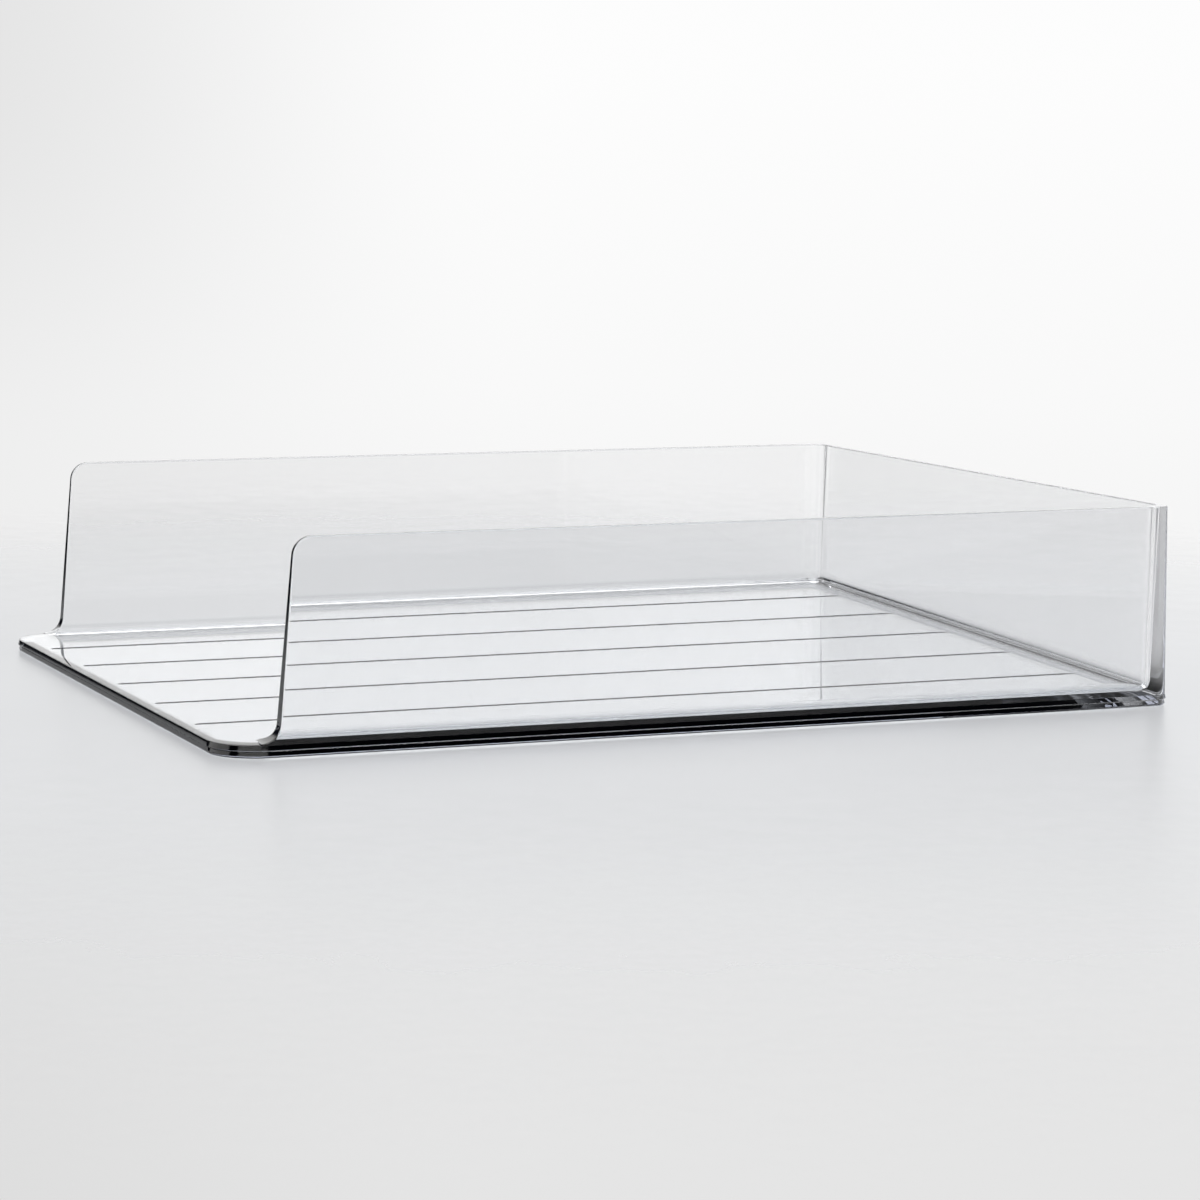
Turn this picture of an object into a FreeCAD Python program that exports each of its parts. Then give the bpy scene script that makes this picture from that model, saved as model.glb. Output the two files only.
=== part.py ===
"""Clear desk tray for magazines and letters, open at the front.

One crystal-clear moulding forms the ribbed floor and the U-shaped wall on its
two sides and back.  A clear base plate is bonded under the floor, and four soft
pads sit in round recesses in its underside.  Millimetres, +Z up, front towards
-Y, origin at the bottom centre of the whole tray.
"""
import FreeCAD, Part
import math
import os
import Sketcher

V = FreeCAD.Vector
START, END, CENTRE = 1, 2, 3
ORIGIN = (-1, 1)
NEAR = 1e-4

# name, value, meaning
SIZES = [
    ("width", 254.0, "overall width of the tray"),
    ("depth", 317.5, "overall depth of the tray, front edge to back wall"),
    ("height", 64.5, "overall height, desk to the top of the wall"),
    ("corner_front", 15.0, "plan radius of the two front corners"),
    ("corner_back", 6.0, "plan radius of the two back corners"),
    ("stand", 0.3, "gap between desk and base plate, held by the pads"),
    ("base_rise", 2.1, "thickness of the base plate"),
    ("base_inset", 0.3, "base plate set back from the outer edge of the tray"),
    ("base_round", 0.8, "rounding of the base plate's lower edge"),
    ("edge_rise", 1.55, "upright edge of the tray's floor"),
    ("lip_rise", 0.65, "upright edge to the top of the floor"),
    ("lip_run", 4.35, "depth of the sloped lip round the floor"),
    ("nosing_rise", 0.35, "height of the lip's steep lower slope"),
    ("nosing_run", 0.35, "depth of the lip's steep lower slope"),
    ("ledge", 0.35, "step in from the floor's edge to the wall's outer face"),
    ("draft_out", 0.8, "inward lean of the wall's outer face, degrees"),
    ("draft_in", 2.0, "outward lean of the wall's inner face, degrees"),
    ("wall_top", 2.0, "thickness of the wall at its top edge"),
    ("bay_corner", 7.0, "inner corner radius at the top of the wall"),
    ("floor_round", 3.6, "hollow rounding between floor and wall"),
    ("top_round", 0.5, "rounding of the wall's top edges"),
    ("wall_setback", 12.3, "front of the tray to the foot of the side walls"),
    ("wall_spare", 0.4, "extra length of the wall's block, cut away by the front opening"),
    ("wall_lean", 4.45, "backward lean of the side walls' front edges, degrees"),
    ("wall_nose", 6.0, "rounding of the side walls' top front corners"),
    ("wall_flare", 6.0, "hollow rounding at the foot of those front edges"),
    ("rib_count", 5, "ribs on the floor"),
    ("rib_pitch", 42.7, "spacing of the ribs"),
    ("rib_rise", 0.45, "height of a rib"),
    ("rib_wide", 1.6, "width of a rib at the floor"),
    ("rib_draft", 45.0, "slope of a rib's flanks, degrees"),
    ("rib_back_gap", 13.0, "back of the tray to the back end of the ribs"),
    ("pad_across", 7.0, "diameter of a pad"),
    ("pad_thick", 1.2, "thickness of a pad"),
    ("pad_edge", 0.2, "rounding of a pad's lower edge"),
    ("recess_play", 0.1, "gap between a pad and its recess, on the radius"),
    ("pad_side_gap", 20.0, "side of the tray to the centre of a pad"),
    ("pad_front_gap", 30.0, "front of the tray to the centre of a front pad"),
    ("pad_back_gap", 20.0, "back of the tray to the centre of a back pad"),
]

# name, formula from the sizes above, meaning
DERIVED = [
    ("half_width", "=width / 2", "half the overall width"),
    ("half_depth", "=depth / 2", "half the overall depth"),
    ("plate_low", "=stand + base_rise", "underside of the tray's floor"),
    ("shoulder", "=plate_low + edge_rise", "top of the floor's upright edge"),
    ("slope_low", "=shoulder + nosing_rise", "bottom of the lip's gentle slope"),
    ("floor_top", "=shoulder + lip_rise", "upper face of the floor"),
    ("slope_half", "=half_width - nosing_run", "half the gentle slope's width"),
    ("slope_end", "=half_depth - nosing_run", "half the gentle slope's depth"),
    ("slope_front", "=corner_front - nosing_run", "front corner of the gentle slope"),
    ("slope_back", "=corner_back - nosing_run", "back corner of the gentle slope"),
    ("wall_half", "=half_width - ledge", "half the wall's outer width at its foot"),
    ("wall_end", "=half_depth - ledge", "centre to the wall's back at its foot"),
    ("wall_corner", "=corner_back - ledge", "wall's outer corner at its foot"),
    ("wall_rise", "=height - shoulder", "shoulder to the top of the wall"),
    ("bay_rise", "=height - floor_top", "floor to the top of the wall"),
    ("lean_in", "=wall_rise * tan(draft_out * 1deg)", "outer face's lean at the top"),
    ("bay_half", "=wall_half - lean_in - wall_top", "half the bay's width at the top"),
    ("bay_back", "=wall_end - lean_in - wall_top", "centre to the bay's back at the top"),
    ("wall_foot", "=half_depth - wall_setback", "centre to the foot of the side walls"),
    ("block_front", "=wall_foot + wall_spare", "centre to the front of the wall's block"),
    ("base_half", "=half_width - base_inset", "half the base plate's width"),
    ("base_end", "=half_depth - base_inset", "half the base plate's depth"),
    ("base_front", "=corner_front - base_inset", "front corner of the base plate"),
    ("base_back", "=corner_back - base_inset", "back corner of the base plate"),
    ("pad_side", "=half_width - pad_side_gap", "centre to the middle of a pad, sideways"),
    ("pad_front", "=half_depth - pad_front_gap", "centre to the middle of a front pad"),
    ("pad_back", "=half_depth - pad_back_gap", "centre to the middle of a back pad"),
]


def make_sheet(doc):
    """Put every size and every derived size in one spreadsheet."""
    sheet = doc.addObject("Spreadsheet::Sheet", "Sizes")
    rows = [(name, f"{value:g}", words) for name, value, words in SIZES] + DERIVED
    for row, (name, content, words) in enumerate(rows, start=1):
        sheet.set(f"A{row}", name)
        sheet.set(f"B{row}", content)
        sheet.set(f"C{row}", words)
        sheet.setAlias(f"B{row}", name)
    doc.recompute()
    return sheet


def origin_plane(body, role):
    """The body's own origin plane or axis with the given role."""
    return next(item for item in body.Origin.OriginFeatures if item.Role == role)


def make_body(doc, label):
    """A body whose label names its file."""
    body = doc.addObject("PartDesign::Body", label)
    body.Label = label
    return body


def make_sketch(body, name, role="XY_Plane", level=None):
    """A sketch on one of the body's origin planes, raised to a named level."""
    sketch = body.newObject("Sketcher::SketchObject", name)
    sketch.AttachmentSupport = [(origin_plane(body, role), "")]
    sketch.MapMode = "FlatFace"
    if level:
        sketch.setExpression("AttachmentOffset.Base.z", f"Sizes.{level}")
    return sketch


def line(sketch, start, end):
    """Add a straight edge between two (x, y) points and return its number."""
    return sketch.addGeometry(Part.LineSegment(V(*start, 0), V(*end, 0)), False)


def arc(sketch, centre, radius, start, end):
    """Add an anticlockwise arc, angles in degrees, and return its number."""
    circle = Part.Circle(V(*centre, 0), V(0, 0, 1), radius)
    edge = Part.ArcOfCircle(circle, math.radians(start), math.radians(end))
    return sketch.addGeometry(edge, False)


def bind(sketch, kind, *places, size, start):
    """Add a dimension that starts near its value and follows the sheet."""
    number = sketch.addConstraint(Sketcher.Constraint(kind, *places, start))
    sketch.setExpression(f"Constraints[{number}]", size)


def join(sketch, kind, first, first_end, second, second_end):
    """Tie the end of one edge to the end of another."""
    sketch.addConstraint(Sketcher.Constraint(kind, first, first_end, second, second_end))


def outline(sketch, sheet, half, front, back, round_back, round_front=None):
    """A plan outline, symmetric in x, with rounded back corners.

    Every size is a name on the sheet.  Without round_front the front corners
    are square.
    """
    x, y0, y1 = getattr(sheet, half), -getattr(sheet, front), getattr(sheet, back)
    rb = getattr(sheet, round_back)
    rf = getattr(sheet, round_front) if round_front else 0.0
    right = line(sketch, (x, y0 + rf), (x, y1 - rb))
    back_right = arc(sketch, (x - rb, y1 - rb), rb, 0, 90)
    rear = line(sketch, (x - rb, y1), (-x + rb, y1))
    back_left = arc(sketch, (-x + rb, y1 - rb), rb, 90, 180)
    left = line(sketch, (-x, y1 - rb), (-x, y0 + rf))
    loop = [right, back_right, rear, back_left, left]
    if rf:
        front_left = arc(sketch, (-x + rf, y0 + rf), rf, 180, 270)
        nose = line(sketch, (-x + rf, y0), (x - rf, y0))
        front_right = arc(sketch, (x - rf, y0 + rf), rf, 270, 360)
        loop += [front_left, nose, front_right]
        for number in (front_left, front_right):
            bind(sketch, "Radius", number, size=f"Sizes.{round_front}", start=rf)
    else:
        nose = line(sketch, (-x, y0), (x, y0))
        loop.append(nose)
    for number, (one, two) in enumerate(zip(loop, loop[1:] + loop[:1])):
        square = not rf and nose in (one, two)
        join(sketch, "Coincident" if square else "Tangent", one, END, two, START)
    for number in (rear, nose):
        sketch.addConstraint(Sketcher.Constraint("Horizontal", number))
    for number in (left, right):
        sketch.addConstraint(Sketcher.Constraint("Vertical", number))
    for number in (back_right, back_left):
        bind(sketch, "Radius", number, size=f"Sizes.{round_back}", start=rb)
    bind(sketch, "DistanceX", *ORIGIN, right, START, size=f"Sizes.{half}", start=x)
    bind(sketch, "DistanceX", left, START, *ORIGIN, size=f"Sizes.{half}", start=x)
    bind(sketch, "DistanceY", *ORIGIN, rear, START, size=f"Sizes.{back}", start=y1)
    bind(sketch, "DistanceY", nose, START, *ORIGIN, size=f"Sizes.{front}", start=-y0)


def pad(body, name, sketch, length, taper=None):
    """Raise a sketch upwards; taper is in degrees, inwards when negative."""
    feature = body.newObject("PartDesign::Pad", name)
    feature.Profile = sketch
    feature.setExpression("Length", length)
    if taper:
        feature.setExpression("TaperAngle", taper)
    return feature


def pocket(body, name, sketch, length, taper=None, upwards=False):
    """Cut a sketch into the body, down unless upwards is set."""
    feature = body.newObject("PartDesign::Pocket", name)
    feature.Profile = sketch
    feature.Reversed = upwards
    feature.setExpression("Length", length)
    if taper:
        feature.setExpression("TaperAngle", taper)
    return feature


def soften(body, name, base, radius, wanted):
    """Round every edge of the base feature that the test accepts."""
    names = [f"Edge{n}" for n, edge in enumerate(base.Shape.Edges, start=1) if wanted(edge)]
    feature = body.newObject("PartDesign::Fillet", name)
    feature.Base = (base, names)
    feature.setExpression("Radius", radius)
    return feature


def level_edge(edge, height):
    """Whether the whole edge lies at one height."""
    box = edge.BoundBox
    return abs(box.ZMin - height) < NEAR and abs(box.ZMax - height) < NEAR


def make_side_cut(body, sheet):
    """The side view of the space in front of the side walls, cut right across.

    It runs back along the floor, up through the hollow foot, along the leaning
    front edge and over the rounded top corner.
    """
    foot, floor, top = -sheet.wall_foot, sheet.floor_top, sheet.height
    lean = math.radians(sheet.wall_lean)
    flare, nose = sheet.wall_flare, sheet.wall_nose
    above = top + flare
    ahead = -sheet.depth
    flare_end = (foot + flare * math.cos(lean), floor + flare - flare * math.sin(lean))
    rise = top - nose + nose * math.sin(lean) - flare_end[1]
    nose_start = (flare_end[0] + rise * math.tan(lean), flare_end[1] + rise)
    nose_centre = (nose_start[0] + nose * math.cos(lean), top - nose)

    sketch = make_sketch(body, "side_view", "YZ_Plane")
    lean_deg = sheet.wall_lean
    along = line(sketch, (ahead, floor), (foot, floor))
    hollow = arc(sketch, (foot, floor + flare), flare, 270, 360 - lean_deg)
    edge = line(sketch, flare_end, nose_start)
    over = arc(sketch, nose_centre, nose, 90, 180 - lean_deg)
    up = line(sketch, (nose_centre[0], top), (nose_centre[0], above))
    away = line(sketch, (nose_centre[0], above), (ahead, above))
    down = line(sketch, (ahead, above), (ahead, floor))
    join(sketch, "Tangent", along, END, hollow, START)
    join(sketch, "Tangent", hollow, END, edge, START)
    join(sketch, "Tangent", edge, END, over, END)
    join(sketch, "Coincident", over, START, up, START)
    join(sketch, "Coincident", up, END, away, START)
    join(sketch, "Coincident", away, END, down, START)
    join(sketch, "Coincident", down, END, along, START)
    for number in (along, away):
        sketch.addConstraint(Sketcher.Constraint("Horizontal", number))
    for number in (up, down):
        sketch.addConstraint(Sketcher.Constraint("Vertical", number))
    sketch.addConstraint(Sketcher.Constraint("Vertical", over, START, over, CENTRE))
    bind(sketch, "Radius", hollow, size="Sizes.wall_flare", start=flare)
    bind(sketch, "Radius", over, size="Sizes.wall_nose", start=nose)
    bind(sketch, "Angle", edge, size="90deg - Sizes.wall_lean * 1deg", start=math.pi / 2 - lean)
    bind(sketch, "DistanceX", along, END, *ORIGIN, size="Sizes.wall_foot", start=-foot)
    bind(sketch, "DistanceY", *ORIGIN, along, END, size="Sizes.floor_top", start=floor)
    bind(sketch, "DistanceY", *ORIGIN, up, START, size="Sizes.height", start=top)
    bind(sketch, "DistanceY", *ORIGIN, up, END, size="Sizes.height + Sizes.wall_flare", start=above)
    bind(sketch, "DistanceX", down, START, *ORIGIN, size="Sizes.depth", start=-ahead)

    cut = body.newObject("PartDesign::Pocket", "front_opening")
    cut.Profile = sketch
    cut.SideType = "Symmetric"
    cut.setExpression("Length", "2 * Sizes.width")
    return cut


def make_ribs(body, sheet):
    """Low ribs that run from the lip almost to the back wall."""
    sketch = make_sketch(body, "rib_plan", level="floor_top")
    count, pitch = int(sheet.rib_count), sheet.rib_pitch
    first = -pitch * (count - 1) / 2
    half = sheet.rib_wide / 2
    front = -sheet.half_depth + sheet.lip_run
    back = sheet.half_depth - sheet.rib_back_gap
    near = line(sketch, (first - half, front), (first + half, front))
    right = line(sketch, (first + half, front), (first + half, back))
    far = line(sketch, (first + half, back), (first - half, back))
    left = line(sketch, (first - half, back), (first - half, front))
    loop = [near, right, far, left]
    for one, two in zip(loop, loop[1:] + loop[:1]):
        join(sketch, "Coincident", one, END, two, START)
    for number in (near, far):
        sketch.addConstraint(Sketcher.Constraint("Horizontal", number))
    for number in (left, right):
        sketch.addConstraint(Sketcher.Constraint("Vertical", number))
    span = "Sizes.rib_pitch * (Sizes.rib_count - 1)"
    bind(sketch, "DistanceX", near, START, near, END, size="Sizes.rib_wide", start=2 * half)
    bind(sketch, "DistanceX", near, START, *ORIGIN, size=f"{span} / 2 + Sizes.rib_wide / 2",
         start=half - first)
    bind(sketch, "DistanceY", near, START, *ORIGIN, size="Sizes.half_depth - Sizes.lip_run",
         start=-front)
    bind(sketch, "DistanceY", *ORIGIN, far, START, size="Sizes.half_depth - Sizes.rib_back_gap",
         start=back)
    rib = pad(body, "rib", sketch, "Sizes.rib_rise", "-Sizes.rib_draft * 1deg")
    FreeCAD.ActiveDocument.recompute()
    ribs = body.newObject("PartDesign::LinearPattern", "ribs")
    ribs.Originals = [rib]
    ribs.Direction = (origin_plane(body, "X_Axis"), [""])
    ribs.setExpression("Length", span)
    ribs.setExpression("Occurrences", "Sizes.rib_count")
    body.Tip = ribs
    return ribs


def make_tray(doc, sheet):
    """The clear moulding: floor with its lip, drafted wall, bay and ribs."""
    body = make_body(doc, "tray_moulding")

    plate = make_sketch(body, "plate_plan", level="plate_low")
    outline(plate, sheet, "half_width", "half_depth", "half_depth", "corner_back", "corner_front")
    pad(body, "plate", plate, "Sizes.edge_rise")

    nosing = make_sketch(body, "nosing_plan", level="shoulder")
    outline(nosing, sheet, "half_width", "half_depth", "half_depth", "corner_back", "corner_front")
    pad(body, "nosing", nosing, "Sizes.nosing_rise", "-atan(Sizes.nosing_run / Sizes.nosing_rise)")

    slope = make_sketch(body, "slope_plan", level="slope_low")
    outline(slope, sheet, "slope_half", "slope_end", "slope_end", "slope_back", "slope_front")
    run, rise = "(Sizes.lip_run - Sizes.nosing_run)", "(Sizes.lip_rise - Sizes.nosing_rise)"
    pad(body, "slope", slope, rise, f"-atan({run} / {rise})")

    block = make_sketch(body, "wall_plan", level="shoulder")
    outline(block, sheet, "wall_half", "block_front", "wall_end", "wall_corner")
    pad(body, "wall_block", block, "Sizes.wall_rise", "-Sizes.draft_out * 1deg")

    bay = make_sketch(body, "bay_plan", level="height")
    outline(bay, sheet, "bay_half", "half_depth", "bay_back", "bay_corner")
    hollow = pocket(body, "bay", bay, "Sizes.bay_rise", "-Sizes.draft_in * 1deg")
    doc.recompute()

    behind = 1.0 - sheet.block_front
    foot = soften(body, "bay_rounding", hollow, "Sizes.floor_round",
                  lambda edge: level_edge(edge, sheet.floor_top) and edge.CenterOfMass.y > behind)
    doc.recompute()
    soften(body, "rim_rounding", foot, "Sizes.top_round",
           lambda edge: level_edge(edge, sheet.height) and edge.CenterOfMass.y > behind)
    doc.recompute()
    make_side_cut(body, sheet)
    doc.recompute()
    make_ribs(body, sheet)
    doc.recompute()
    return body


def make_base(doc, sheet):
    """The clear plate bonded under the floor, with a round recess for each pad."""
    body = make_body(doc, "base_plate")
    plan = make_sketch(body, "base_plan", level="stand")
    outline(plan, sheet, "base_half", "base_end", "base_end", "base_back", "base_front")
    solid = pad(body, "base", plan, "Sizes.base_rise")
    doc.recompute()
    soften(body, "edge_rounding", solid, "Sizes.base_round",
           lambda edge: level_edge(edge, sheet.stand))
    doc.recompute()

    holes = make_sketch(body, "recess_plan", level="stand")
    for side, place in pad_places():
        radius = sheet.pad_across / 2 + sheet.recess_play
        y = getattr(sheet, f"pad_{place}")
        sign = -1 if place == "front" else 1
        circle = Part.Circle(V(side * sheet.pad_side, sign * y, 0), V(0, 0, 1), radius)
        number = holes.addGeometry(circle, False)
        bind(holes, "Radius", number, size="Sizes.pad_across / 2 + Sizes.recess_play", start=radius)
        ends = (number, CENTRE, *ORIGIN) if side < 0 else (*ORIGIN, number, CENTRE)
        bind(holes, "DistanceX", *ends, size="Sizes.pad_side", start=sheet.pad_side)
        ends = (number, CENTRE, *ORIGIN) if sign < 0 else (*ORIGIN, number, CENTRE)
        bind(holes, "DistanceY", *ends, size=f"Sizes.pad_{place}", start=y)
    pocket(body, "recesses", holes, "Sizes.pad_thick - Sizes.stand", upwards=True)
    doc.recompute()
    return body


def pad_places():
    """Side (-1 left, 1 right) and end of the tray for each pad."""
    return [(side, place) for place in ("front", "back") for side in (-1, 1)]


def make_pad(doc, sheet, side, place):
    """One soft pad, a low disc with a rounded lower edge."""
    body = make_body(doc, f"pad_{place}_{'left' if side < 0 else 'right'}")
    plan = make_sketch(body, f"{body.Label}_plan")
    number = plan.addGeometry(Part.Circle(V(0, 0, 0), V(0, 0, 1), sheet.pad_across / 2), False)
    join(plan, "Coincident", number, CENTRE, *ORIGIN)
    bind(plan, "Radius", number, size="Sizes.pad_across / 2", start=sheet.pad_across / 2)
    disc = pad(body, f"{body.Label}_disc", plan, "Sizes.pad_thick")
    doc.recompute()
    soften(body, f"{body.Label}_edge", disc, "Sizes.pad_edge", lambda edge: level_edge(edge, 0.0))
    body.setExpression("Placement.Base.x", f"{side} * Sizes.pad_side")
    sign = "-" if place == "front" else ""
    body.setExpression("Placement.Base.y", f"{sign}Sizes.pad_{place}")
    doc.recompute()
    return body


def check(doc, bodies):
    """Stop if any feature failed or any sub-part is missing or not valid."""
    for item in doc.Objects:
        if {"Invalid", "Error"} & set(item.State):
            raise RuntimeError(f"{item.Name} is {item.State}")
    for body in bodies:
        if body.Shape.isNull() or not body.Shape.isValid() or len(body.Shape.Solids) != 1:
            raise RuntimeError(f"{body.Label} has no valid single solid")


def main():
    doc = FreeCAD.newDocument("clear_tray")
    sheet = make_sheet(doc)
    bodies = [make_tray(doc, sheet), make_base(doc, sheet)]
    bodies += [make_pad(doc, sheet, side, place) for side, place in pad_places()]
    doc.recompute()
    check(doc, bodies)
    os.makedirs("parts", exist_ok=True)
    for body in bodies:
        body.Shape.exportStep(f"parts/{body.Label}.step")
        box = body.Shape.optimalBoundingBox(False, False)
        print(f"{body.Label}: {body.Shape.Volume:.1f} mm3, x {box.XMin:.2f} {box.XMax:.2f}, "
              f"y {box.YMin:.2f} {box.YMax:.2f}, z {box.ZMin:.2f} {box.ZMax:.2f}")


main()
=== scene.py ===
import math

import bmesh
import bpy
from bpy.props import FloatProperty, FloatVectorProperty, PointerProperty
from mathutils import Matrix, Vector


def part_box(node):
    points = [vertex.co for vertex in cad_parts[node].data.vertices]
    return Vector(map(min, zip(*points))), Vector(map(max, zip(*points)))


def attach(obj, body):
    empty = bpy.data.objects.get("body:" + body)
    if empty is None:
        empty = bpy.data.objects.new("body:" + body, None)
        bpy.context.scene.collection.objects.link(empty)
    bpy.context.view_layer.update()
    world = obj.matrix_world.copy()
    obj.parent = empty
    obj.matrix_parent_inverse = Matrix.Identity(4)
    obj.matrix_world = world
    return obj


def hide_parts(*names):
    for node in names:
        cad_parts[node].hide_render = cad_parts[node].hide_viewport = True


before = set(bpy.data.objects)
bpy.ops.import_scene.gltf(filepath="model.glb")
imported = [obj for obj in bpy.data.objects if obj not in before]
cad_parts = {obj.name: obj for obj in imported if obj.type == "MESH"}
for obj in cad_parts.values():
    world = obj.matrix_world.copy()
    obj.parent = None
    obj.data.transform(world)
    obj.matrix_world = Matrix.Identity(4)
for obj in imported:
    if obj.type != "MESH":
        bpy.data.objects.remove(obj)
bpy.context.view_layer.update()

bl_info = {
    "name": "Clear letter tray",
    "version": (1, 0, 0),
    "blender": (4, 5, 0),
    "location": "View3D > Sidebar > Letter tray",
    "description": "Builds an open-fronted clear letter tray around its packed model",
    "category": "Add Mesh",
}

MM = 0.001

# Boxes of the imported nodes, which every piece is placed from.
TRAY_LOW, TRAY_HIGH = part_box("tray_moulding")
BASE_LOW, BASE_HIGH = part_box("base_plate")
PAD_NODES = [node for node in sorted(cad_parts) if node.startswith("pad_")]

ARC_STEPS = 8        # faces round a small edge rounding
CORNER_STEPS = 18    # faces round a corner seen from above
CURVE_STEPS = 14     # faces round a nose, a flare or a foot
BURIED = 1.2 * MM    # how far the wall's root reaches into the floor
SINK = 0.03 * MM     # how far a tangent foot dips under the surface that it runs into
AIR = 0.03 * MM      # gap between neighbouring pieces' faces
LEAST = 0.2 * MM     # smallest corner radius
CREASE = 28.0        # degrees between faces that still shade as one

FLAG = (0.012, 0.014, 0.022)    # colour of the dark patches in the surround
# Brightness of the surround from straight down (0) to straight up (1).
SURROUND = [(0.0, 0.74), (0.30, 0.76), (0.38, 0.79), (0.412, 0.815), (0.4235, 0.855),
            (0.4375, 0.90), (0.465, 0.945), (0.51, 0.98), (1.0, 0.95)]
KEY_SIDE = 1.3                  # side of the square softbox, metres
KEY_PLACE = (-0.1, 0.1, 1.2)    # its middle, metres
FLOOR_STEPS = 96                # corners of the round floor
SENSOR = 36.0                   # width of the camera's sensor, millimetres

# Steps of a rib's front end: distance back from the very front in mm, share of its height.
RIB_START = [(0.0, -0.25), (0.25, 0.45), (0.7, 0.85), (1.4, 1.0)]
RIB_FADE = (0.0, 0.15, 0.3, 0.45, 0.6, 0.75, 0.9, 1.0)    # steps of its fading back end
RIB_ROOT = 0.6 * MM             # how far a rib's root reaches into the floor


# ---------------------------------------------------------------- sizes

def length(name, words, millimetres):
    return FloatProperty(name=name, description=words, default=millimetres * MM,
                         min=0.0, precision=5, subtype="DISTANCE", unit="LENGTH")


def slant(name, words, degrees):
    return FloatProperty(name=name, description=words, default=math.radians(degrees),
                         subtype="ANGLE", unit="ROTATION")


def tint(name, words, colour):
    return FloatVectorProperty(name=name, description=words, default=colour, size=3,
                               min=0.0, max=1.0, subtype="COLOR")


class TraySizes(bpy.types.PropertyGroup):
    """Sizes of the tray moulding."""

    corner_front: length("Front corner", "Radius of the floor's front corners", 15.0)
    corner_back: length("Back corner", "Radius of the back corners, outside", 6.0)
    under_round: length("Under edge", "Rounding of the floor's lower edge", 0.25)
    edge_draft: slant("Edge draft", "Lean of the floor's upright edge", 15.0)
    shoulder: length("Shoulder", "Height of the floor's shoulder over its underside", 1.9)
    shoulder_round: length("Shoulder rounding", "Rounding of the shoulder", 0.5)
    floor: length("Floor", "Height of the floor's face over its underside", 2.2)
    lip_run: length("Lip run", "How far in the slope of the lip reaches", 4.35)
    ledge: length("Ledge", "Step in from the floor's edge to the wall's outer face", 0.35)
    wall_top: length("Wall", "Thickness of the wall at its rim", 2.0)
    rim_round: length("Rim rounding", "Rounding of the rim and the wall's front edges", 0.5)
    draft_out: slant("Outer draft", "Lean of the wall's outer face", 0.8)
    draft_in: slant("Inner draft", "Lean of the wall's inner face", 2.0)
    bay_corner: length("Bay corner", "Radius of the bay's upright corners at the rim", 7.0)
    floor_round: length("Bay foot", "Radius from the wall's inner face to the floor", 3.6)
    setback: length("Setback", "From the front edge to the foot of the side wall", 17.85)
    lean: slant("Lean", "Lean of the side wall's front edge", 4.45)
    nose: length("Nose", "Radius at the top of the side wall's front edge", 6.0)
    flare: length("Flare", "Radius at the foot of the side wall's front edge", 6.0)
    rib_pitch: length("Rib pitch", "Spacing of the floor ribs", 42.7)
    rib_rise: length("Rib rise", "Height of a rib over the floor", 0.28)
    rib_wide: length("Rib width", "Width of a rib at the floor", 2.4)
    rib_front: length("Rib front gap", "From the front edge to the ribs' front ends", 4.4)
    rib_back: length("Rib back gap", "From the back edge to the ribs' back ends", 9.0)
    rib_fade: length("Rib fade", "Length over which a rib's back end dies away", 9.0)


class BaseSizes(bpy.types.PropertyGroup):
    """Sizes of the base plate."""

    foot_round: length("Foot rounding", "Rounding of the base plate's lower edge", 0.8)
    head_round: length("Head rounding", "Rounding of the base plate's upper edge", 0.3)
    edge_draft: slant("Edge draft", "Lean of the base plate's upright edge", 15.0)


class PadSizes(bpy.types.PropertyGroup):
    """Sizes of the anti-slip pads."""

    edge: length("Edge", "Rounding of a pad's lower edge", 0.25)
    crown: length("Crown", "How far the middle of a pad's face is sunk", 0.12)


class PlasticLook(bpy.types.PropertyGroup):
    """Looks of the clear plastic and the soft pads."""

    clear: tint("Clear", "Colour of the clear plastic", (0.998, 0.999, 1.0))
    clear_deep: tint("Clear, deep", "Colour that a long path in the plastic takes",
                     (0.25, 0.30, 0.55))
    passing: tint("Passing light", "Share of soft light that each face lets through",
                  (0.96, 0.965, 0.97))
    density: FloatProperty(name="Density", description="How fast a long path darkens, per metre",
                           default=2.0, min=0.0)
    guided: FloatProperty(name="Guided light",
                          description="Share of guided light that leaves the back wall",
                          default=0.14, min=0.0, max=1.0)
    ior: FloatProperty(name="Refraction", description="Refractive index of the plastic",
                       default=1.52, min=1.0, max=2.0)
    haze: FloatProperty(name="Haze", description="Largest roughness that handling leaves",
                        default=0.03, min=0.0, max=1.0)
    ripple: length("Ripple", "Height of the moulded surface's slow ripple", 0.012)
    pad: tint("Pad", "Colour of the soft pads", (0.93, 0.94, 0.95))


class StageLook(bpy.types.PropertyGroup):
    """Floor, light and camera."""

    floor: tint("Floor", "Colour of the floor", (0.333, 0.338, 0.347))
    fade_start: length("Fade start", "Where the floor starts to die away", 200.0)
    fade_end: length("Fade end", "Where the floor has died away", 620.0)
    key: FloatProperty(name="Key light", description="Power of the overhead softbox in watts",
                       default=6.0, min=0.0, unit="POWER")
    azimuth: slant("Azimuth", "Where the camera stands, round the tray", 67.0513)
    elevation: slant("Elevation", "How far the camera looks down", 7.1883)
    roll: slant("Roll", "How far the camera is rolled", 0.5821)
    distance: length("Distance", "From the tray's middle to the camera", 1216.0)
    aim_side: length("Aim sideways", "How far the view's middle is moved sideways", 11.604)
    aim_rise: length("Aim up", "How far the view's middle is moved up", 25.438)
    lens: FloatProperty(name="Lens", description="Focal length on a 36 mm sensor",
                        default=108.576, min=1.0, unit="CAMERA")


# ---------------------------------------------------------------- shader sums

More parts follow.
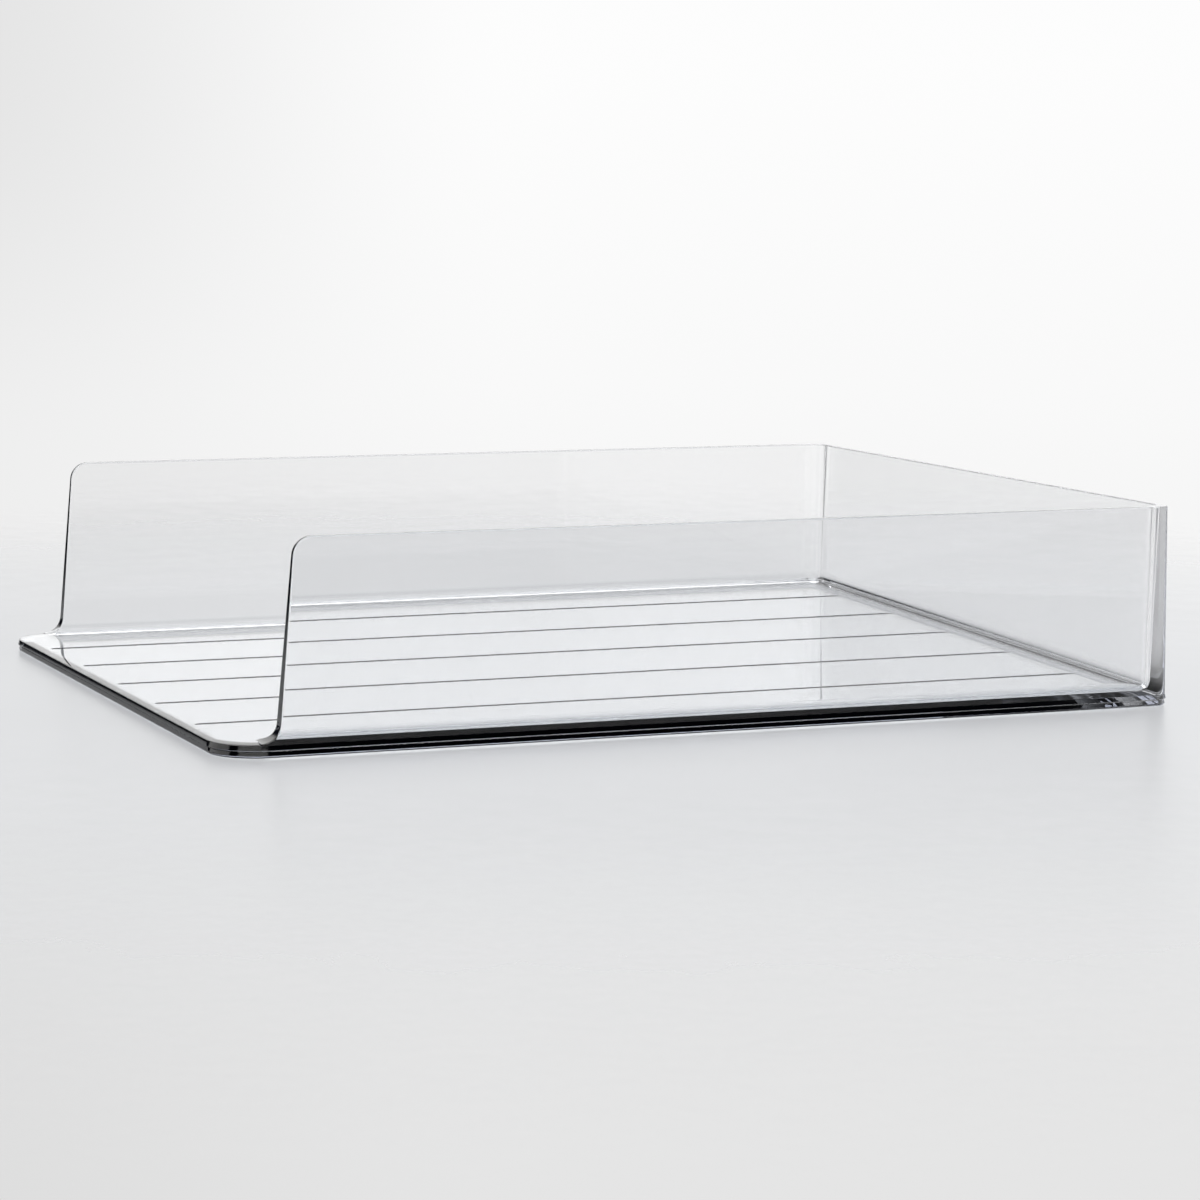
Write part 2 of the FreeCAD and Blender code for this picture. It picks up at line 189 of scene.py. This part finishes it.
class Wire:
    """A socket that takes part in sums: each operator adds one Math node."""

    def __init__(self, graph, socket):
        self.graph = graph
        self.socket = socket

    def sum(self, operation, first, second):
        return self.graph.node("ShaderNodeMath", {"operation": operation},
                               {0: first, 1: second})

    def __add__(self, other):
        return self.sum("ADD", self, other)

    def __radd__(self, other):
        return self.sum("ADD", other, self)

    def __sub__(self, other):
        return self.sum("SUBTRACT", self, other)

    def __rsub__(self, other):
        return self.sum("SUBTRACT", other, self)

    def __mul__(self, other):
        return self.sum("MULTIPLY", self, other)

    def __rmul__(self, other):
        return self.sum("MULTIPLY", other, self)

    def __truediv__(self, other):
        return self.sum("DIVIDE", self, other)

    def __rtruediv__(self, other):
        return self.sum("DIVIDE", other, self)

    def most(self, other):
        return self.sum("MAXIMUM", self, other)


class Graph:
    """The node tree of one material or world."""

    def __init__(self, owner):
        owner.use_nodes = True
        self.tree = owner.node_tree
        self.tree.nodes.clear()

    def node(self, kind, settings=None, sockets=None, output=0):
        made = self.tree.nodes.new(kind)
        for key, value in (settings or {}).items():
            if key == "stops":
                self.set_stops(made.color_ramp, value)
            else:
                setattr(made, key, value)
        for key, value in (sockets or {}).items():
            socket = made.inputs[key]
            if isinstance(value, Wire):
                self.tree.links.new(value.socket, socket)
            elif hasattr(value, "__len__") and len(value) == 3 and socket.type == "RGBA":
                socket.default_value = (*value, 1.0)
            else:
                socket.default_value = value
        outputs = made.outputs
        return Wire(self, outputs[output]) if len(outputs) else made

    @staticmethod
    def set_stops(ramp, stops):
        while len(ramp.elements) < len(stops):
            ramp.elements.new(1.0)
        for element, (place, value) in zip(ramp.elements, stops):
            element.position = place
            element.color = (value, value, value, 1.0)

    def smooth(self, value, low, high):
        """0 below low, 1 above high, smooth between; low above high turns it round."""
        flip = low > high
        return self.node("ShaderNodeMapRange", {"interpolation_type": "SMOOTHSTEP"},
                         {"Value": value, "From Min": min(low, high), "From Max": max(low, high),
                          "To Min": 1.0 if flip else 0.0, "To Max": 0.0 if flip else 1.0})

    def noise(self, place, scale, detail=2.0, roughness=0.5):
        return self.node("ShaderNodeTexNoise", {},
                         {"Vector": place, "Scale": scale, "Detail": detail,
                          "Roughness": roughness})

    def mix(self, share, first, second):
        """Mix of two colours."""
        return self.node("ShaderNodeMix", {"data_type": "RGBA"}, {0: share, 6: first, 7: second},
                         output=2)


# ---------------------------------------------------------------- materials

def clear_plastic(look):
    """Clear moulded plastic: slow ripple, faint haze from handling, hairline scuffs.

    The bonded faces let light straight through, and so does every face for soft light
    and shadows.  The back wall gives off a little of the light that it guides.
    """
    material = bpy.data.materials.new("moulded_clear")
    g = Graph(material)
    place = g.node("ShaderNodeTexCoord", output="Object")
    slow = g.noise(place, 14.0, 1.0)
    cloud = g.noise(place, 38.0, 4.0, 0.6)
    grain = g.noise(place, 900.0, 2.0)
    flow = g.node("ShaderNodeMapping", {"vector_type": "POINT"},
                  {"Vector": place, "Scale": (420.0, 9.0, 420.0)})
    scuff = g.smooth(g.noise(flow, 1.0, 3.0, 0.7), 0.68, 0.80)
    handled = g.smooth(cloud, 0.52, 0.78)
    colour = g.mix(g.smooth(slow, 0.3, 0.7), look.clear, [c * 0.992 for c in look.clear])
    relief = slow * look.ripple + grain * (0.0004 * MM) + scuff * (-0.0006 * MM)
    bump = g.node("ShaderNodeBump", {}, {"Strength": 1.0, "Distance": 1.0, "Height": relief})
    surface = g.node("ShaderNodeBsdfPrincipled", {}, {
        "Base Color": colour,
        "Roughness": handled * look.haze * 0.5 + scuff * look.haze,
        "IOR": look.ior,
        "Transmission Weight": 1.0,
        "Normal": bump,
    })
    depth = g.node("ShaderNodeSeparateXYZ", {}, {0: place}, output="Y")
    height = g.node("ShaderNodeSeparateXYZ", {}, {0: place}, output="Z")
    behind = g.smooth(depth, TRAY_HIGH.y - 14 * MM, TRAY_HIGH.y - 3 * MM)
    glow = behind * g.smooth(height, TRAY_LOW.z + 3 * MM, TRAY_LOW.z + 8 * MM) * look.guided
    scattered = g.node("ShaderNodeBsdfTranslucent", {}, {"Color": look.clear})
    surface = g.node("ShaderNodeMixShader", {}, {0: glow, 1: surface, 2: scattered})
    off_bond = g.node("ShaderNodeMath", {"operation": "ABSOLUTE"},
                      {0: height - (TRAY_LOW.z - 0.5 * AIR)})
    bonded = g.smooth(off_bond, 0.9 * AIR, 0.7 * AIR)
    shadow = g.node("ShaderNodeLightPath", output="Is Shadow Ray")
    diffuse = g.node("ShaderNodeLightPath", output="Is Diffuse Ray")
    through = bonded.most(shadow).most(diffuse)
    clear = g.node("ShaderNodeBsdfTransparent", {}, {"Color": look.passing})
    surface = g.node("ShaderNodeMixShader", {}, {0: through, 1: surface, 2: clear})
    inside = g.node("ShaderNodeVolumeAbsorption", {},
                    {"Color": look.clear_deep, "Density": look.density})
    g.node("ShaderNodeOutputMaterial", {}, {"Surface": surface, "Volume": inside})
    return material


def soft_pad(look):
    """Soft moulded pad: cloudy, matt, with a fine grain."""
    material = bpy.data.materials.new("moulded_soft")
    g = Graph(material)
    place = g.node("ShaderNodeTexCoord", output="Object")
    cloud = g.noise(place, 260.0, 3.0, 0.6)
    grain = g.noise(place, 5200.0, 2.0)
    relief = cloud * (0.02 * MM) + grain * (0.006 * MM)
    bump = g.node("ShaderNodeBump", {}, {"Strength": 1.0, "Distance": 1.0, "Height": relief})
    surface = g.node("ShaderNodeBsdfPrincipled", {}, {
        "Base Color": g.mix(cloud, look.pad, [c * 0.9 for c in look.pad]),
        "Roughness": cloud * 0.2 + 0.18,
        "IOR": 1.42,
        "Transmission Weight": 0.9,
        "Normal": bump,
    })
    g.node("ShaderNodeOutputMaterial", {}, {"Surface": surface})
    return material


def floor_paint(look, right):
    """Pale satin floor with painted shade, a little darker to the left, dying into the backdrop.
    """
    material = bpy.data.materials.new("floor_paint")
    g = Graph(material)
    place = g.node("ShaderNodeTexCoord", output="Object")
    away = g.node("ShaderNodeVectorMath", {"operation": "LENGTH"}, {0: place}, output="Value")
    across = g.node("ShaderNodeVectorMath", {"operation": "DOT_PRODUCT"},
                    {0: place, 1: right}, output="Value")
    cloud = g.noise(place, 5.0, 3.0)
    grain = g.noise(place, 1400.0, 2.0)
    ragged = away + (g.noise(place, 60.0, 4.0) - 0.5) * 0.06
    bump = g.node("ShaderNodeBump", {},
                  {"Strength": 1.0, "Distance": 1.0, "Height": grain * (0.002 * MM)})
    # Painted shade: the base colour darkens to the left where the light falls off; the cloud adds
    # random tone.
    painted_shade_and_tone = g.smooth(across, -0.02, -0.24) * 0.9 + cloud * 0.1
    surface = g.node("ShaderNodeBsdfPrincipled", {}, {
        "Base Color": g.mix(painted_shade_and_tone, look.floor, [c * 0.9 for c in look.floor]),
        "Roughness": cloud * 0.08 + 0.30,
        "Specular IOR Level": 0.35,
        "Alpha": g.smooth(ragged, look.fade_end, look.fade_start),
        "Normal": bump,
    })
    g.node("ShaderNodeOutputMaterial", {}, {"Surface": surface})
    return material


# ---------------------------------------------------------------- mesh helpers

class Shell:
    """Collects points and faces, then becomes a mesh object."""

    def __init__(self):
        self.points = []
        self.faces = []

    def row(self, points):
        """Adds points and returns their numbers."""
        start = len(self.points)
        self.points.extend(points)
        return list(range(start, start + len(points)))

    def loft(self, rows, ring=False):
        """Joins neighbouring rows with four-sided faces. ring also joins each row's two ends."""
        for low, high in zip(rows, rows[1:]):
            count = len(low)
            for i in range(count if ring else count - 1):
                j = (i + 1) % count
                self.faces.append((low[i], low[j], high[j], high[i]))

    def solid(self, name):
        """A mesh object with its doubled points merged and its faces turned outwards."""
        mesh = bpy.data.meshes.new(name)
        mesh.from_pydata(self.points, [], self.faces)
        made = bmesh.new()
        made.from_mesh(mesh)
        bmesh.ops.remove_doubles(made, verts=made.verts, dist=1e-7)
        bmesh.ops.dissolve_degenerate(made, edges=made.edges, dist=1e-8)
        bmesh.ops.recalc_face_normals(made, faces=made.faces)
        made.to_mesh(mesh)
        made.free()
        thing = bpy.data.objects.new(name, mesh)
        bpy.context.scene.collection.objects.link(thing)
        return thing


def arc(start, end, steps):
    """Angles from start to end, in degrees, as radians."""
    return [math.radians(start + (end - start) * i / steps) for i in range(steps + 1)]


def rounded_ring(half, front, back, radius_front, radius_back, z):
    """Points round a rectangle with rounded corners, anticlockwise from the front right."""
    corners = [(half - radius_front, front + radius_front, radius_front, -90),
               (half - radius_back, back - radius_back, radius_back, 0),
               (radius_back - half, back - radius_back, radius_back, 90),
               (radius_front - half, front + radius_front, radius_front, 180)]
    return [(x + r * math.cos(a), y + r * math.sin(a), z)
            for x, y, r, turn in corners for a in arc(turn, turn + 90, CORNER_STEPS)]


def inset_ring(box_low, box_high, radius_front, radius_back, inset, z):
    """The outline of a box with rounded corners, moved in by inset."""
    return rounded_ring(box_high.x - inset, box_low.y + inset, box_high.y - inset,
                        max(radius_front - inset, LEAST), max(radius_back - inset, LEAST), z)


def join(target, others):
    """Makes target one solid with the others, which are used up."""
    for other in others:
        modifier = target.modifiers.new("join", "BOOLEAN")
        modifier.operation = "UNION"
        modifier.solver = "MANIFOLD"
        modifier.object = other
        apply_modifiers(target)
        bpy.data.objects.remove(other)


def apply_modifiers(thing):
    """Puts the modifiers' result into the mesh."""
    graph = bpy.context.evaluated_depsgraph_get()
    mesh = bpy.data.meshes.new_from_object(thing.evaluated_get(graph))
    old = thing.data
    thing.modifiers.clear()
    thing.data = mesh
    mesh.name = old.name
    bpy.data.meshes.remove(old)


def finish_surface(thing, material):
    """Smooth shading with crisp edges, the material, and the ride on the one body."""
    mesh = thing.data
    mesh.materials.clear()
    mesh.materials.append(material)
    mesh.polygons.foreach_set("use_smooth", [True] * len(mesh.polygons))
    mesh.set_sharp_from_angle(angle=math.radians(CREASE))
    modifier = thing.modifiers.new("even", "WEIGHTED_NORMAL")
    modifier.keep_sharp = True
    modifier.weight = 100
    apply_modifiers(thing)
    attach(thing, "root")


def get_material(name, maker, *details):
    return bpy.data.materials.get(name) or maker(*details)


# ---------------------------------------------------------------- tray moulding

def floor_plate(s):
    """The rounded floor: under edge, leaning upright edge, shoulder, slope of the lip."""
    bottom = TRAY_LOW.z
    rows = []
    r = s.under_round
    for a in arc(0, 90, ARC_STEPS):
        rows.append((r - r * math.sin(a), bottom + r - r * math.cos(a)))
    r = s.shoulder_round
    top = bottom + s.shoulder
    step_in = (s.shoulder - s.under_round - r) * math.tan(s.edge_draft)
    fall = math.atan2(s.floor - s.shoulder, s.lip_run)
    for a in arc(math.degrees(s.edge_draft), 90 - math.degrees(fall), ARC_STEPS):
        rows.append((step_in + r - r * math.cos(a), top - r + r * math.sin(a)))
    rows.append((s.lip_run, bottom + s.floor))
    shell = Shell()
    rings = [shell.row(inset_ring(TRAY_LOW, TRAY_HIGH, s.corner_front, s.corner_back, inset, z))
             for inset, z in rows]
    shell.loft(rings, ring=True)
    shell.faces += [rings[0][::-1], rings[-1]]
    return shell.solid("tray_plate")


class WallShape:
    """Where the wall's faces lie: the outer and inner faces by height, and the front edge."""

    def __init__(self, s):
        self.s = s
        self.rim = TRAY_HIGH.z
        self.floor = TRAY_LOW.z + s.floor - SINK
        self.tan_out = math.tan(s.draft_out)
        self.tan_in = math.tan(s.draft_in)
        self.foot_z = self.floor + s.floor_round
        self.foot_inset = (self.flat_inner(self.foot_z) + s.floor_round / math.cos(s.draft_in))
        line_y = TRAY_LOW.y + s.setback
        sin, cos = math.sin(s.lean), math.cos(s.lean)
        self.flare_y = line_y - s.flare * (1 - sin) / cos
        self.flare_z = self.floor + s.flare
        self.nose_z = self.rim - s.nose
        self.nose_y = line_y + (s.nose + sin * (self.nose_z - self.floor)) / cos

    def outer(self, z):
        return self.s.ledge + max(z - self.floor, 0.0) * self.tan_out

    def flat_inner(self, z):
        return self.outer(self.rim) + self.s.wall_top + (self.rim - z) * self.tan_in

    def inner(self, z):
        """Inset of the inner face, with the round foot that runs out into the floor."""
        r = self.s.floor_round
        down = self.foot_z - z
        if down <= r * math.sin(self.s.draft_in):
            return self.flat_inner(z)
        return self.foot_inset - math.sqrt(max(r * r - min(down, r) ** 2, 0.0))

    def outer_radius(self, z):
        return self.s.corner_back - self.outer(z)

    def inner_radius(self, z):
        """Radius of the bay's corner, which tightens down the wall and round its foot."""
        radius = self.s.bay_corner - (self.rim - z) * self.tan_in
        return max(radius - (self.inner(z) - self.flat_inner(z)), LEAST)

    def levels(self):
        """Heights and front edge of the rows up the wall: (z, y, normal y, normal z)."""
        s, r = self.s, self.s.rim_round
        lean = math.degrees(s.lean)
        wide, tight = s.flare + r, s.nose - r
        flare = [(self.flare_z - wide * math.sin(a), self.flare_y - wide * math.cos(a), a)
                 for a in arc(90, 180 - lean, CURVE_STEPS)]
        nose = [(self.nose_z + tight * math.sin(a), self.nose_y + tight * math.cos(a), a)
                for a in arc(180 - lean, 90, CURVE_STEPS)]
        spots = flare + nose
        heights = {z for z, _, _ in spots}
        heights |= {self.foot_z - s.floor_round * math.sin(a)
                    for a in arc(90, math.degrees(s.draft_in), CURVE_STEPS)}
        rows = []
        for z in sorted(heights):
            if rows and z - rows[-1][0] < 1e-6:
                continue
            if z <= flare[-1][0]:
                a = math.pi - math.asin(min((self.flare_z - z) / wide, 1.0))
                y = self.flare_y - wide * math.cos(a)
            elif z < nose[0][0]:
                a = math.pi - s.lean
                part = (z - flare[-1][0]) / (nose[0][0] - flare[-1][0])
                y = flare[-1][1] + part * (nose[0][1] - flare[-1][1])
            else:
                a = math.pi - math.asin(min((z - self.nose_z) / tight, 1.0))
                y = self.nose_y + tight * math.cos(a)
            rows.append((z, y, math.cos(a), math.sin(a)))
        return rows


def u_path(start_y, inset, radius, z):
    """Points along the wall, from the right front end round the back to the left front end."""
    half, back = TRAY_HIGH.x - inset, TRAY_HIGH.y - inset
    points = [(half, start_y, z)]
    for x, turn in ((half - radius, 0), (radius - half, 90)):
        points += [(x + radius * math.cos(a), back - radius + radius * math.sin(a), z)
                   for a in arc(turn, turn + 90, CORNER_STEPS)]
    return points + [(-half, start_y, z)]


def side_wall(s):
    """The three-sided wall, with rounded rim, leaning front edges and a round foot inside."""
    shape = WallShape(s)
    levels = shape.levels()
    r = s.rim_round
    root = levels[0][0] - BURIED
    shell = Shell()
    outer, inner = [], []
    for z, y, _, _ in [(root,) + levels[0][1:]] + levels:
        outer.append(shell.row(u_path(y, shape.outer(z), shape.outer_radius(z), z)))
        inner.append(shell.row(u_path(y, shape.inner(z), shape.inner_radius(z), z)))
    shell.loft(outer)
    shell.loft([row[::-1] for row in inner])
    shell.loft([inner[0], outer[0]])

    def band(side, a):
        """One line of the rim: up one front edge, round the top, down the other."""
        rise, in_by = r * math.sin(a), r * (1 - math.cos(a))
        face = shape.outer if side == "outer" else shape.inner
        sign = 1 if side == "outer" else -1
        radius = shape.outer_radius if side == "outer" else shape.inner_radius
        up = [(TRAY_HIGH.x - face(z) - sign * in_by, y + ny * rise, z + nz * rise)
              for z, y, ny, nz in levels]
        top_z = levels[-1][0]
        top = u_path(levels[-1][1], face(top_z) + sign * in_by,
                     radius(top_z) - sign * in_by, top_z + rise)[1:-1]
        return up + top + [(-x, y, z) for x, y, z in reversed(up)]

    lines = [band("outer", a) for a in arc(0, 90, ARC_STEPS)]
    lines += [band("inner", a) for a in arc(90, 0, ARC_STEPS)]
    rows = [shell.row(line) for line in lines]
    shell.loft(rows)
    shell.faces.append([outer[0][0]] + [row[0] for row in rows] + [inner[0][0]])
    shell.faces.append(([outer[0][-1]] + [row[-1] for row in rows] + [inner[0][-1]])[::-1])
    return shell.solid("tray_wall")


def floor_ribs(s):
    """Five low soft-edged ribs along the floor, dying away into it at the back."""
    floor = TRAY_LOW.z + s.floor
    front, back = TRAY_LOW.y + s.rib_front, TRAY_HIGH.y - s.rib_back
    ends = [(front + step * MM, share) for step, share in RIB_START]
    ends += [(back - s.rib_fade * (1 - t), 1.0 - 1.25 * t * t * (3 - 2 * t)) for t in RIB_FADE]
    low = floor - RIB_ROOT
    ribs = []
    for number in range(-2, 3):
        shell = Shell()
        rows = []
        for y, share in ends:
            top = s.rib_rise * share
            dome = [(number * s.rib_pitch + 0.5 * s.rib_wide * math.cos(a), y,
                     floor - SINK + top * math.sin(a) ** 4 - (LEAST if share < 0 else 0.0))
                    for a in arc(0, 180, 2 * ARC_STEPS)]
            dome.insert(0, (dome[0][0], y, low))
            dome.append((dome[-1][0], y, low))
            rows.append(shell.row(dome))
        shell.loft(rows, ring=True)
        shell.faces += [rows[0][::-1], rows[-1]]
        ribs.append(shell.solid(f"rib_{number}"))
    return ribs


class TRAY_OT_moulding(bpy.types.Operator):
    """Build the tray moulding: floor, three-sided wall and floor ribs as one solid"""

    bl_idname = "letter_tray.moulding"
    bl_label = "Tray moulding"

    def execute(self, context):
        s = context.scene.tray_sizes
        tray = floor_plate(s)
        join(tray, [side_wall(s)] + floor_ribs(s))
        tray.name = tray.data.name = "tray_clear_moulding"
        material = get_material("moulded_clear", clear_plastic, context.scene.tray_look)
        finish_surface(tray, material)
        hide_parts("tray_moulding")
        return {"FINISHED"}


# ---------------------------------------------------------------- base plate

class TRAY_OT_base(bpy.types.Operator):
    """Build the base plate that lies under the tray's floor"""

    bl_idname = "letter_tray.base"
    bl_label = "Base plate"

    def execute(self, context):
        s, t = context.scene.base_sizes, context.scene.tray_sizes
        low, high = BASE_LOW.z, BASE_HIGH.z - AIR
        step = TRAY_HIGH.x - BASE_HIGH.x
        lean = math.degrees(s.edge_draft)
        foot, head = s.foot_round, s.head_round
        step_in = (high - low - foot - head) * math.tan(s.edge_draft)
        section = [(foot * (1 - math.sin(a)), low + foot * (1 - math.cos(a)))
                   for a in arc(0, 90, ARC_STEPS)]
        section += [(step_in + head * (1 - math.cos(a)), high - head * (1 - math.sin(a)))
                    for a in arc(lean, 90, ARC_STEPS)]
        shell = Shell()
        rings = [shell.row(inset_ring(BASE_LOW, BASE_HIGH, t.corner_front - step,
                                      t.corner_back - step, inset, z))
                 for inset, z in section]
        shell.loft(rings, ring=True)
        shell.faces += [rings[0][::-1], rings[-1]]
        plate = shell.solid("base_clear_plate")
        material = get_material("moulded_clear", clear_plastic, context.scene.tray_look)
        finish_surface(plate, material)
        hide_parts("base_plate")
        return {"FINISHED"}


# ---------------------------------------------------------------- pads

class TRAY_OT_pads(bpy.types.Operator):
    """Build the small soft pads that the tray stands on"""

    bl_idname = "letter_tray.pads"
    bl_label = "Anti-slip pads"

    def execute(self, context):
        s = context.scene.pad_sizes
        material = get_material("moulded_soft", soft_pad, context.scene.tray_look)
        for node in PAD_NODES:
            low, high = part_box(node)
            middle = (low + high) / 2
            radius = (high.x - low.x) / 2
            section = [(0.3 * radius, low.z + s.crown), (0.6 * radius, low.z + 0.6 * s.crown),
                       (0.8 * radius, low.z)]
            section += [(radius - s.edge * (1 - math.sin(a)), low.z + s.edge * (1 - math.cos(a)))
                        for a in arc(0, 90, ARC_STEPS)]
            section.append((radius, BASE_LOW.z - AIR))
            shell = Shell()
            rings = []
            for r, z in section:
                rings.append(shell.row([(middle.x + r * math.cos(a), middle.y + r * math.sin(a), z)
                                        for a in arc(0, 360, 4 * CORNER_STEPS)[:-1]]))
            shell.loft(rings, ring=True)
            shell.faces += [rings[0][::-1], rings[-1]]
            pad = shell.solid("soft_" + node)
            finish_surface(pad, material)
            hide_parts(node)
        return {"FINISHED"}


# ---------------------------------------------------------------- stage

def studio_world(view_x, view_y):
    """Pale surround: bright overhead, dark patches at the quarters, a floor-like lower half."""
    world = bpy.data.worlds.new("studio")
    bpy.context.scene.world = world
    g = Graph(world)
    way = g.node("ShaderNodeTexCoord", output="Generated")
    x, y, z = (g.node("ShaderNodeSeparateXYZ", {}, {0: way}, output=axis) for axis in "XYZ")
    along = g.node("ShaderNodeVectorMath", {"operation": "DOT_PRODUCT"},
                   {0: way, 1: (view_x, view_y, 0.0)}, output="Value")
    flat = x * x + y * y + 1e-6
    quarter = along * along / flat * 2.0 - 1.0
    off_middle = g.node("ShaderNodeMath", {"operation": "ABSOLUTE"}, {0: quarter + 0.03})
    flag = g.smooth(off_middle, 0.52, 0.26) * g.smooth(z, -0.42, -0.34) * g.smooth(z, 0.52, 0.40)
    fall = g.node("ShaderNodeValToRGB", {"stops": SURROUND}, {"Fac": (z + 1.0) * 0.5})
    overhead = g.smooth(z, 0.60, 0.86) * 1.6
    beside = g.node("ShaderNodeVectorMath", {"operation": "DOT_PRODUCT"},
                    {0: way, 1: (-view_y, view_x, 0.0)}, output="Value")
    shaded = (g.smooth(beside, 0.02, 0.19) * g.smooth(beside, 0.6, 0.4)
              * g.smooth(z, 0.08, 0.045))
    shaded = shaded * (g.smooth(z, -0.11, 0.03) * 0.14 + 0.07)
    banner = g.smooth(z, 0.05, 0.10) * g.smooth(z, 0.60, 0.35) * 0.36
    pale = fall * (1.0 - shaded)
    colour = g.mix(flag, pale, FLAG)
    back = g.node("ShaderNodeBackground", {},
                  {"Color": colour, "Strength": overhead + banner + 1.0})
    g.node("ShaderNodeOutputWorld", {}, {"Surface": back})


class TRAY_OT_stage(bpy.types.Operator):
    """Set the floor, the soft light and the camera"""

    bl_idname = "letter_tray.stage"
    bl_label = "Stage"

    def execute(self, context):
        scene = context.scene
        s = scene.stage_look
        scene.view_settings.view_transform = "Standard"

        shell = Shell()
        rings = [shell.row([(r * math.cos(a), r * math.sin(a), 0.0)
                            for a in arc(0, 360, FLOOR_STEPS)[:-1]])
                 for r in (s.fade_start, s.fade_end)]
        shell.loft(rings, ring=True)
        shell.faces.append(rings[0])
        floor = shell.solid("floor")
        to_right = (math.cos(s.azimuth), math.sin(s.azimuth), 0.0)
        floor.data.materials.append(floor_paint(s, to_right))

        back = Vector((math.sin(s.azimuth) * math.cos(s.elevation),
                       -math.cos(s.azimuth) * math.cos(s.elevation), math.sin(s.elevation)))
        studio_world(-math.sin(s.azimuth), math.cos(s.azimuth))

        key = bpy.data.objects.new("softbox", bpy.data.lights.new("softbox", "AREA"))
        key.data.shape = "RECTANGLE"
        key.data.size = key.data.size_y = KEY_SIDE
        key.data.energy = s.key
        key.location = KEY_PLACE
        key.visible_glossy = False
        scene.collection.objects.link(key)

        level = Vector((0, 0, 1))
        right = level.cross(back).normalized()
        up = back.cross(right)
        across = math.cos(s.roll) * right + math.sin(s.roll) * up
        upright = math.cos(s.roll) * up - math.sin(s.roll) * right
        spot = back * s.distance + right * s.aim_side + up * s.aim_rise
        camera = bpy.data.objects.new("camera", bpy.data.cameras.new("camera"))
        camera.data.sensor_width = SENSOR
        camera.data.lens = s.lens
        camera.data.clip_start = 0.01
        camera.matrix_world = Matrix([[across[i], upright[i], back[i], spot[i]] for i in range(3)]
                                     + [[0.0, 0.0, 0.0, 1.0]])
        scene.collection.objects.link(camera)
        scene.camera = camera
        return {"FINISHED"}


# ---------------------------------------------------------------- add-on

class TRAY_PT_panel(bpy.types.Panel):
    """Lists the tray's pieces and sizes"""

    bl_idname = "TRAY_PT_panel"
    bl_label = "Letter tray"
    bl_space_type = "VIEW_3D"
    bl_region_type = "UI"
    bl_category = "Letter tray"

    def draw(self, context):
        for operator, group in PANEL_ROWS:
            box = self.layout.box()
            box.operator(operator)
            sizes = getattr(context.scene, group)
            for key in sizes.__annotations__:
                box.prop(sizes, key)


PANEL_ROWS = [("letter_tray.moulding", "tray_sizes"), ("letter_tray.base", "base_sizes"),
              ("letter_tray.pads", "pad_sizes"), ("letter_tray.stage", "stage_look")]
GROUPS = {"tray_sizes": TraySizes, "base_sizes": BaseSizes, "pad_sizes": PadSizes,
          "tray_look": PlasticLook, "stage_look": StageLook}
OPERATORS = [TRAY_OT_moulding, TRAY_OT_base, TRAY_OT_pads, TRAY_OT_stage]


def register():
    for group in GROUPS.values():
        bpy.utils.register_class(group)
    for operator in OPERATORS:
        bpy.utils.register_class(operator)
    bpy.utils.register_class(TRAY_PT_panel)
    for name, group in GROUPS.items():
        setattr(bpy.types.Scene, name, PointerProperty(type=group))


def unregister():
    for name in GROUPS:
        delattr(bpy.types.Scene, name)
    for kind in [TRAY_PT_panel] + OPERATORS[::-1] + list(GROUPS.values())[::-1]:
        bpy.utils.unregister_class(kind)


def main():
    register()
    bpy.ops.letter_tray.moulding()
    bpy.ops.letter_tray.base()
    bpy.ops.letter_tray.pads()
    bpy.ops.letter_tray.stage()


if __name__ == "__main__":
    main()
